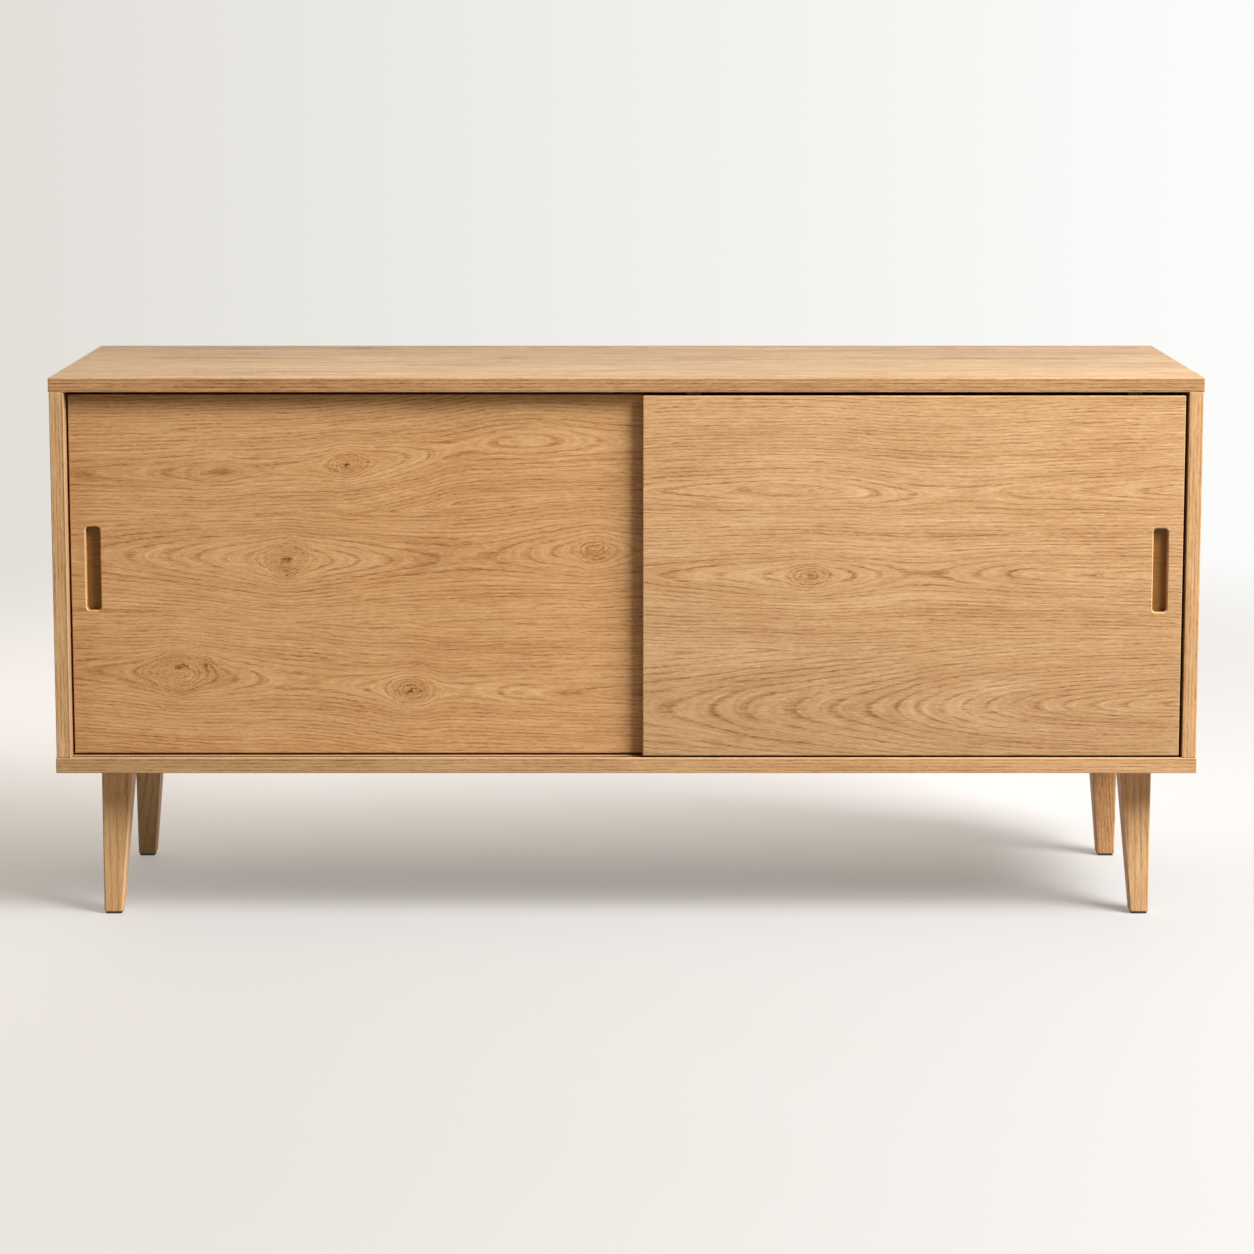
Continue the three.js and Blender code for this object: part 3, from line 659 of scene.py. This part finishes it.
def panel(name, axes, at_high, centres, seed, look):
    """Oak for a panel whose grain is drawn by lot. The seen face is its high or low one."""
    low, high = corner(name)
    start, end = low[axes[0]], high[axes[0]]
    face = high[axes[2]] if at_high else low[axes[2]]
    middle = (low[axes[1]] + high[axes[1]]) / 2
    strips = drawn_strips(seed, start, end, [middle + c for c in centres])
    return oak("oak_" + name, axes, start, end, face, strips, look, seed * SEED_STEP,
               middle + PANEL_EDGE)


def door_oak(name, strips, knots, seed, pull_x, look):
    low, high = corner(name)
    return oak("oak_" + name, UPRIGHT_FRONT, low[X], high[X], low[Y], strips, look, seed,
               DOOR_EDGE, knots, (pull_x, PULL_Z, PULL_HALF_WIDE, PULL_HALF_HIGH))


LEG_CONTRAST = 0.9
LEG_HEART = (75, 110)  # from the leg's middle to the heart of the tree
LEG_TURN = (0.15, 0.35)  # of half a turn, from one of the four sides
LEG_LEAN = 0.035
LEG_LEAN_BACK = 0.7  # as a share of the lean to the side
LEG_BEND = 7.0
LEG_BEND_LUMPS = (40, 40, 160)
LEG_CLOUD_LUMPS = (30, 30, 90)
LEG_FOOT = (4, 12)  # heights between which the paler arrises, worn and with painted highlight, begin


def leg_oak(name, seed, look):
    """Solid oak: rings round a heart that lies outside the leg and leans along it."""
    draw = random.Random(seed)
    low, high = corner(name)
    s = Surface("oak_" + name)
    x, y, z = s.point_mm()
    angle = draw.uniform(*LEG_TURN) * math.pi + (math.pi / 2) * (seed % 4)
    far = draw.uniform(*LEG_HEART)
    heart_x = (low[X] + high[X]) / 2 + far * math.cos(angle)
    heart_y = (low[Y] + high[Y]) / 2 + far * math.sin(angle)
    lean = draw.uniform(-LEG_LEAN, LEG_LEAN)
    bend = s.lumps(LEG_BEND_LUMPS, 1.0, apart=seed).swing(LEG_BEND)
    dx = x - heart_x + z.scaled(lean) + bend
    dy = y - heart_y + z.scaled(-lean * LEG_LEAN_BACK)
    rings = (dx.squared() + dy.squared()).math("SQRT")
    tone = s.lumps(LEG_CLOUD_LUMPS, apart=seed).scaled(CLOUD_TONE, look.base)
    grain = Grain(z, x, lambda width: y.scaled(1 / width), rings, LEG_PITCH,
                  y.scaled(1 / DRIFT_WIDTH), seed)
    return dress_oak(s, grain, look, tone, arris_of(s) * z.step(*LEG_FOOT))


# Plastics, rubber and steel

NOISE_SPAN = (0.25, 0.75)  # between which values of a noise the tones change
SKIN_SHARE = 0.35  # of a plastic's tone, the rest is its cloud's
SKIN_ROUGHNESS = 0.2
CLOUD_ROUGHNESS = 0.08
CLOUD_LUMPS = (26, 9, 9)
DRAWN_LUMPS = (180, 0.35, 0.35)
SKIN_STRENGTH = 0.7

PLATE_LUMPS = (3, 3, 3)
MARKS_LUMPS = (0.6, 0.6, 0.09)
MARKS_SHARE = 0.4  # of the steel's tone, the rest is its plate's
STEEL_ROUGHNESS = 0.22
PLATE_ROUGHNESS = 0.18
MARKS_ROUGHNESS = 0.1
MARKS_RELIEF = 0.00002
MARKS_STRENGTH = 0.6


def plastic(name, stops, roughness, grain, relief, ior, streaks):
    """Moulded or extruded plastic: a fine skin, a cloudy tone and, if drawn, streaks along X.
    Grain is the width of the skin's lumps in millimetres, and relief their depth in metres."""
    s = Surface(name)
    skin = s.lumps((grain, grain, grain), 2.0, 0.6)
    cloud = s.lumps(CLOUD_LUMPS, 1.0)
    tone = skin.scaled(SKIN_SHARE) + cloud.scaled(1 - SKIN_SHARE)
    height = skin
    if streaks:
        drawn = s.lumps(DRAWN_LUMPS, 1.0)
        tone = tone.towards(drawn, streaks)
        height = skin.towards(drawn, streaks)
    rough = skin.scaled(SKIN_ROUGHNESS, roughness - SKIN_ROUGHNESS / 2)
    s.set("Base Color", s.ramp(tone.between(*NOISE_SPAN), stops))
    s.set("Roughness", rough + cloud.swing(CLOUD_ROUGHNESS))
    s.set("IOR", ior)
    s.bump(height, relief, SKIN_STRENGTH)
    return s.material


def steel(name, stops):
    """Bright zinc plate: a soft cloud in the plate and fine turning marks."""
    s = Surface(name)
    plate = s.lumps(PLATE_LUMPS, 2.0)
    marks = s.lumps(MARKS_LUMPS, 1.0)
    rough = plate.scaled(PLATE_ROUGHNESS, STEEL_ROUGHNESS) + marks.scaled(MARKS_ROUGHNESS)
    s.set("Base Color", s.ramp(plate.towards(marks, MARKS_SHARE).between(*NOISE_SPAN), stops))
    s.set("Roughness", rough)
    s.set("Metallic", 1.0)
    s.bump(marks, MARKS_RELIEF, MARKS_STRENGTH)
    return s.material


TRACK_STOPS = [(0.0, (128, 94, 60)), (0.5, (158, 121, 80)), (1.0, (182, 144, 101))]
DARK_STOPS = [(0.0, (30, 28, 26)), (0.5, (44, 41, 38)), (1.0, (62, 58, 54))]
NYLON_STOPS = [(0.0, (24, 23, 22)), (0.5, (33, 31, 29)), (1.0, (44, 42, 39))]
RUBBER_STOPS = [(0.0, (28, 26, 25)), (0.5, (40, 38, 36)), (1.0, (66, 62, 58))]
STEEL_STOPS = [(0.0, (176, 178, 184)), (0.5, (205, 207, 210)), (1.0, (226, 226, 222))]

# Slot, tones, roughness, width of the skin's lumps, their depth, refraction, share of streaks
PLASTICS = [
    ("track_plastic", TRACK_STOPS, 0.45, 0.7, 0.00003, 1.49, 0.75),
    ("dark_plastic", DARK_STOPS, 0.5, 0.5, 0.00004, 1.5, 0.0),
    ("nylon", NYLON_STOPS, 0.55, 0.6, 0.00002, 1.4, 0.0),
    ("stop_rubber", RUBBER_STOPS, 0.8, 0.8, 0.00006, 1.5, 0.0),
]
zinc = steel("steel", STEEL_STOPS)
by_slot = {row[0]: plastic(*row) for row in PLASTICS}
by_slot["steel"] = zinc

# Each board's own oak. The shade of a look is painted shade, where the light on the board falls
# off.

# The left door: painted shade along its left end, next to the side panel.
LEFT_DOOR_LOOK = Look(OAK_TONES, shade=(X, -776.0, -725.0, 0.82))
# The right door: paler tones, partly painted sheen, and painted shade towards its foot.
RIGHT_DOOR_LOOK = Look(PALE_TONES, base=0.32, shade=(Z, 260.0, 600.0, 0.86))
# The top: painted shade towards the back.
TOP_LOOK = Look(TOP_TONES, base=0.48, contrast=0.9, rough=0.60, ior=1.46,
                edge_tones=PALE_TONES, edge_tone=0.02, shade=(Y, 225.0, -225.0, 0.78))
# The bottom: painted shade towards its left end.
BOTTOM_LOOK = Look(PALE_TONES, shade=(X, -900.0, 500.0, 0.83))
# The left side: painted shade on its inner face.
LEFT_SIDE_LOOK = Look(PALE_TONES, base=0.26, shade=(X, -780.5, -784.0, 0.75))
# The right side: painted shade on its outer face, which the lamp lights strongly, behind its
# front arris.
RIGHT_SIDE_LOOK = Look(PALE_TONES, shade=(Y, -221.0, -224.5, 0.76))
INNER_LOOK = Look(INNER_TONES)

# Name, strips, knots, seed, middle of the finger pull along X, look
DOORS = [
    ("left_door_panel", LEFT_DOOR, LEFT_KNOTS, 2.0, -745.0, LEFT_DOOR_LOOK),
    ("right_door_panel", RIGHT_DOOR, RIGHT_KNOTS, 71.0, 743.5, RIGHT_DOOR_LOOK),
]

# Name, axes, whether the high face is the seen one, strips from the middle, seed, look
PANELS = [
    ("top_panel", LAID, True, (-170, 40, 190), 5, TOP_LOOK),
    ("bottom_panel", LAID, True, (-120, 110), 6, BOTTOM_LOOK),
    ("side_panel_left", UPRIGHT_SIDE, False, (-95, 100), 7, LEFT_SIDE_LOOK),
    ("side_panel_right", UPRIGHT_SIDE, True, (-80, 120), 8, RIGHT_SIDE_LOOK),
    ("back_panel", UPRIGHT_FRONT, True, (-190, 0, 180), 9, INNER_LOOK),
    ("centre_divider", UPRIGHT_SIDE, True, (-90, 90), 10, INNER_LOOK),
    ("shelf_left", LAID, True, (-90, 90), 11, INNER_LOOK),
    ("shelf_right", LAID, True, (-100, 80), 12, INNER_LOOK),
]

# Name, seed, look
# Each leg's base is painted light and shade: a paler base lifts the left legs, which lie in
# shade, and a darker one dims the right legs, which the lamp lights strongly.
LEGS = [
    ("leg_front_left", 20, Look(OAK_TONES, base=0.16, contrast=LEG_CONTRAST)),
    ("leg_front_right", 21, Look(PALE_TONES, base=0.34, contrast=LEG_CONTRAST)),
    ("leg_rear_left", 22, Look(PALE_TONES, base=0.05, contrast=LEG_CONTRAST)),
    ("leg_rear_right", 23, Look(PALE_TONES, base=0.46, contrast=LEG_CONTRAST)),
]

materials = {}
for dress, rows in ((door_oak, DOORS), (panel, PANELS), (leg_oak, LEGS)):
    for row in rows:
        materials[row[0]] = dress(*row)
slots = {row["node"]: row["material_slot"] for row in frame["record"]["subparts"]}
for name, piece in nodes.items():
    for place in piece.material_slots:
        place.material = materials[name] if name in materials else by_slot[slots[name]]


# Screws that hold the back panel, in millimetres

SCREW_EDGE = 4.6  # from the edge of the back panel
SCREW_PROUD = 0.25
SCREW_SIDES = 32
SCREW_PROFILE = [  # radius, and how far the head falls off there
    (0.25, 0.0), (0.5, 0.0), (0.8, 0.0), (1.1, 0.0), (1.4, 0.0), (1.7, 0.0), (2.0, 0.0),
    (2.5, -0.01), (2.85, -0.05), (3.1, -0.2), (3.1, -0.6),
]
SCREW_COLUMNS = 8
SCREW_ROWS = (0.25, 0.5, 0.75)
SCREW_TURN = 1.5
CROSS_REACH = 1.7
CROSS_WIDTH = 0.42
CROSS_DEPTH = 1.0
CROSS_TAPER = 0.6


def screw_heads(places, y):
    """Flat countersunk heads with a cross recess, facing backwards."""
    mesh = bmesh.new()
    for x, z, turn in places:
        rows = []
        for radius, fall in SCREW_PROFILE:
            row = []
            for i in range(SCREW_SIDES):
                angle = 2 * math.pi * i / SCREW_SIDES
                dx, dz = radius * math.cos(angle), radius * math.sin(angle)
                inside = radius < CROSS_REACH and min(abs(dx), abs(dz)) < CROSS_WIDTH
                sink = CROSS_DEPTH * (1 - radius / CROSS_REACH * CROSS_TAPER) if inside else 0.0
                px = dx * math.cos(turn) - dz * math.sin(turn)
                pz = dx * math.sin(turn) + dz * math.cos(turn)
                point = (x + px, y + SCREW_PROUD + fall - sink, z + pz)
                row.append(mesh.verts.new([c * MM for c in point]))
            rows.append(row)
        centre = mesh.verts.new((x * MM, (y + SCREW_PROUD - CROSS_DEPTH) * MM, z * MM))
        for i in range(SCREW_SIDES):
            j = (i + 1) % SCREW_SIDES
            mesh.faces.new((centre, rows[0][j], rows[0][i]))
            for inner, outer in zip(rows, rows[1:]):
                mesh.faces.new((inner[i], inner[j], outer[j], outer[i]))
    data = bpy.data.meshes.new("back_screws")
    mesh.to_mesh(data)
    mesh.free()
    for polygon in data.polygons:
        polygon.use_smooth = False
    data.materials.append(zinc)
    piece = bpy.data.objects.new("back_screws", data)
    scene.collection.objects.link(piece)
    return piece


def screw_places(low, high):
    """(x, z, turn) of each screw, for the back panel's lowest and highest corner."""
    draw = random.Random(4)
    places = []
    left, right = low[X] + SCREW_EDGE, high[X] - SCREW_EDGE
    bottom, top = low[Z] + SCREW_EDGE, high[Z] - SCREW_EDGE
    for i in range(SCREW_COLUMNS + 1):
        x = left + (right - left) * i / SCREW_COLUMNS
        places += [(x, z, draw.uniform(0, SCREW_TURN)) for z in (bottom, top)]
    for share in SCREW_ROWS:
        z = bottom + (top - bottom) * share
        places += [(x, z, draw.uniform(0, SCREW_TURN)) for x in (left, 0.0, right)]
    return places


back_low, back_high = corner("back_panel")
screws = screw_heads(screw_places(back_low, back_high), back_high[Y])
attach(screws, "case")


# Floor, in metres

FLOOR_HALF = 9.0
FLOOR_Z = -0.0002
FLOOR_TINT = [(0.0, (167, 164, 160)), (1.0, (163, 161, 159))]  # from left to right
FLOOR_PAINTED_GLOW = [(0.0, (153, 150, 148)), (1.0, (135, 133, 132))]  # painted light, seen straight and in reflections, more at the left
FLOOR_BOUNCE = (138, 131, 122)  # the floor as the cabinet sees it
FLOOR_FADE = (1.7, 3.4)  # how far out it gives way to the backdrop
FLOOR_ROUGHNESS = 0.6
GRIT = 2.2  # lumps in a metre
GRIT_ROUGHNESS = 0.2

# Painted light on the floor, as steps (low, high, start, end): more behind the cabinet and a
# little more at its left, where it lifts the cabinet's cast shadow, the most of it in the
# middle, less close to the camera
GLOW_BEHIND = (0.0, 0.6, 0.91)  # its end is what the next one gives
GLOW_MIDDLE = (0.45, 1.1, 1.75, 1.36)
GLOW_NEAR = (-1.4, -0.3, 0.79, 1.0)
GLOW_LEFT = (-1.0, -0.4, 1.1, 1.0)

floor_mesh = bpy.data.meshes.new("floor")
corners = [(-1, -1), (1, -1), (1, 1), (-1, 1)]
floor_mesh.from_pydata([(x * FLOOR_HALF, y * FLOOR_HALF, FLOOR_Z) for x, y in corners], [],
                       [(0, 1, 2, 3)])
floor = bpy.data.objects.new("floor", floor_mesh)
scene.collection.objects.link(floor)

ground = Surface("floor")
x, y = ground.point[:2]
far = (x.squared() + y.squared()).math("SQRT")
grit = ground.noise(x.scaled(GRIT), y.scaled(GRIT), 0.0, 3.0)
from_left = x.scaled(0.5, 0.5)
tint = ground.ramp(from_left, FLOOR_TINT)
bounced = ground.rays("Is Diffuse Ray")
ground.set("Base Color", ground.mixed(bounced, tint, linear(FLOOR_BOUNCE)))
ground.set("Roughness", grit.scaled(GRIT_ROUGHNESS, FLOOR_ROUGHNESS))
# Painted light: the floor glows where the camera sees it, and lifts the cabinet's cast shadow
# behind it and at its left.
painted_glow = y.step(*GLOW_BEHIND, x.absolute().step(*GLOW_MIDDLE))
painted_glow = painted_glow * y.step(*GLOW_NEAR) * x.step(*GLOW_LEFT)
ground.set("Emission Color", ground.ramp(from_left, FLOOR_PAINTED_GLOW))
ground.set("Emission Strength", ground.seen() * painted_glow)

clear = ground.add("ShaderNodeBsdfTransparent")
blend = ground.add("ShaderNodeMixShader")
faded = (far.step(*FLOOR_FADE), ground.shader.outputs[0], clear.outputs[0])
for entry, value in zip(blend.inputs, faded):
    plug(ground.tree, entry, value)
output = ground.tree.nodes["Material Output"]
plug(ground.tree, output.inputs["Surface"], blend.outputs[0])
floor_mesh.materials.append(ground.material)

# Backdrop and the light from all round

BACKDROP = [(0.0, (225, 222, 216)), (1.0, (254, 254, 253))]  # from left to right
BACKDROP_SPAN = 0.21
AMBIENT = (255, 236, 198)
AMBIENT_FRONT = 0.105
AMBIENT_BACK = 0.8
AMBIENT_STEP = (-0.2, 0.7)

world = bpy.data.worlds.new("world")
scene.world = world
world.use_nodes = True
sky = Nodes(world.node_tree)
sideways, backwards = sky.split(sky.add("ShaderNodeTexCoord").outputs["Generated"])[:2]
backdrop = sky.ramp(sideways.between(-BACKDROP_SPAN, BACKDROP_SPAN), BACKDROP)
seen = sky.seen()
ambient = backwards.step(*AMBIENT_STEP, AMBIENT_FRONT, AMBIENT_BACK)
background = sky.tree.nodes["Background"]
plug(sky.tree, background.inputs["Color"], sky.mixed(seen, linear(AMBIENT), backdrop))
plug(sky.tree, background.inputs["Strength"], ambient + ambient.scaled(-1.0, 1.0) * seen)

# Lamp

KEY_TOWARDS = (1.8, -1.12, 1.9)  # from the middle of the cabinet
KEY_AIM = (0, 0, 0.45)
KEY_DISTANCE = 6.0
KEY_SIZE = 2.8
KEY_POWER = 728.0
KEY_TINT = (0.97, 1.0, 1.045)

lamp = bpy.data.lights.new("key", "AREA")
lamp.size = KEY_SIZE
lamp.energy = KEY_POWER
lamp.color = KEY_TINT
key = bpy.data.objects.new("key", lamp)
direction = Vector(KEY_TOWARDS).normalized()
key.location = Vector(KEY_AIM) + direction * KEY_DISTANCE
key.rotation_euler = direction.to_track_quat("Z", "Y").to_euler()
key.visible_camera = False
scene.collection.objects.link(key)
